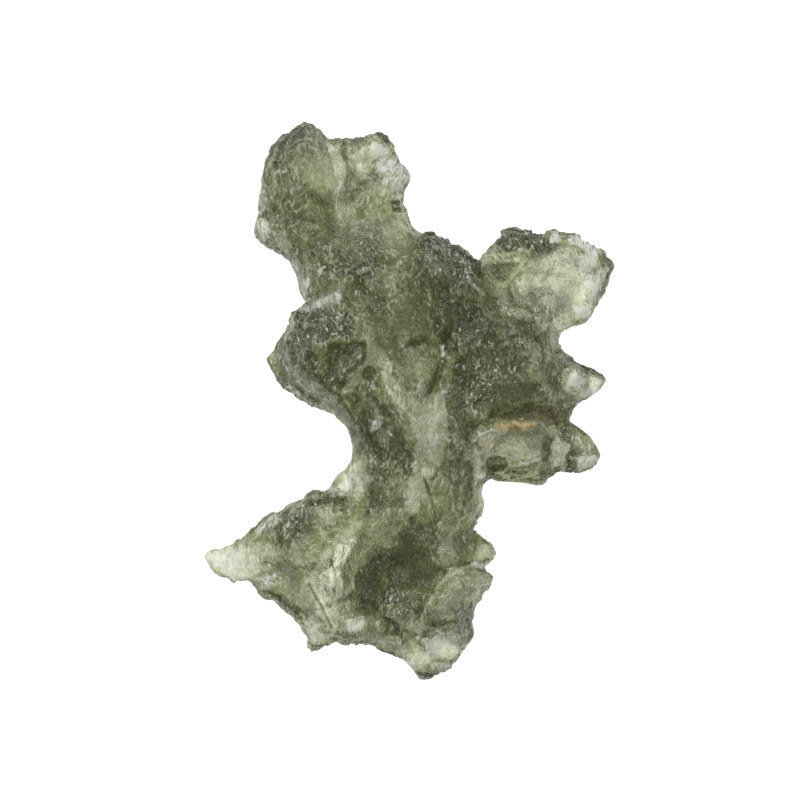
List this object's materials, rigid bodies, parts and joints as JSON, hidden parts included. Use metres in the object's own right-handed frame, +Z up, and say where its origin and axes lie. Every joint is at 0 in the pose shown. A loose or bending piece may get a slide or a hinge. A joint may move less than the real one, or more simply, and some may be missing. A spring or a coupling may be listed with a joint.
{
  "type": "moldavite",
  "caption": "Thin, deeply etched lump of translucent olive-green natural impact glass with ragged lobes, spines and furrows, lying flat.",
  "frame": {"origin": "middle of the bounding box's underside, on the surface that the stone rests on", "axes": "+Z up through the stone's thickness; +Y along its length, towards the two-part head; +X towards the side with the broad thin wing and the spike"},
  "size_m": [0.0258, 0.035, 0.0094],
  "materials": {
    "green_glass": "translucent olive-green glass with an etched, sparkling skin, frosted pale thin edges and a small ochre sediment stain"
  },
  "bodies": {
    "root": {"moldavite": "green_glass"}
  },
  "joints": []
}
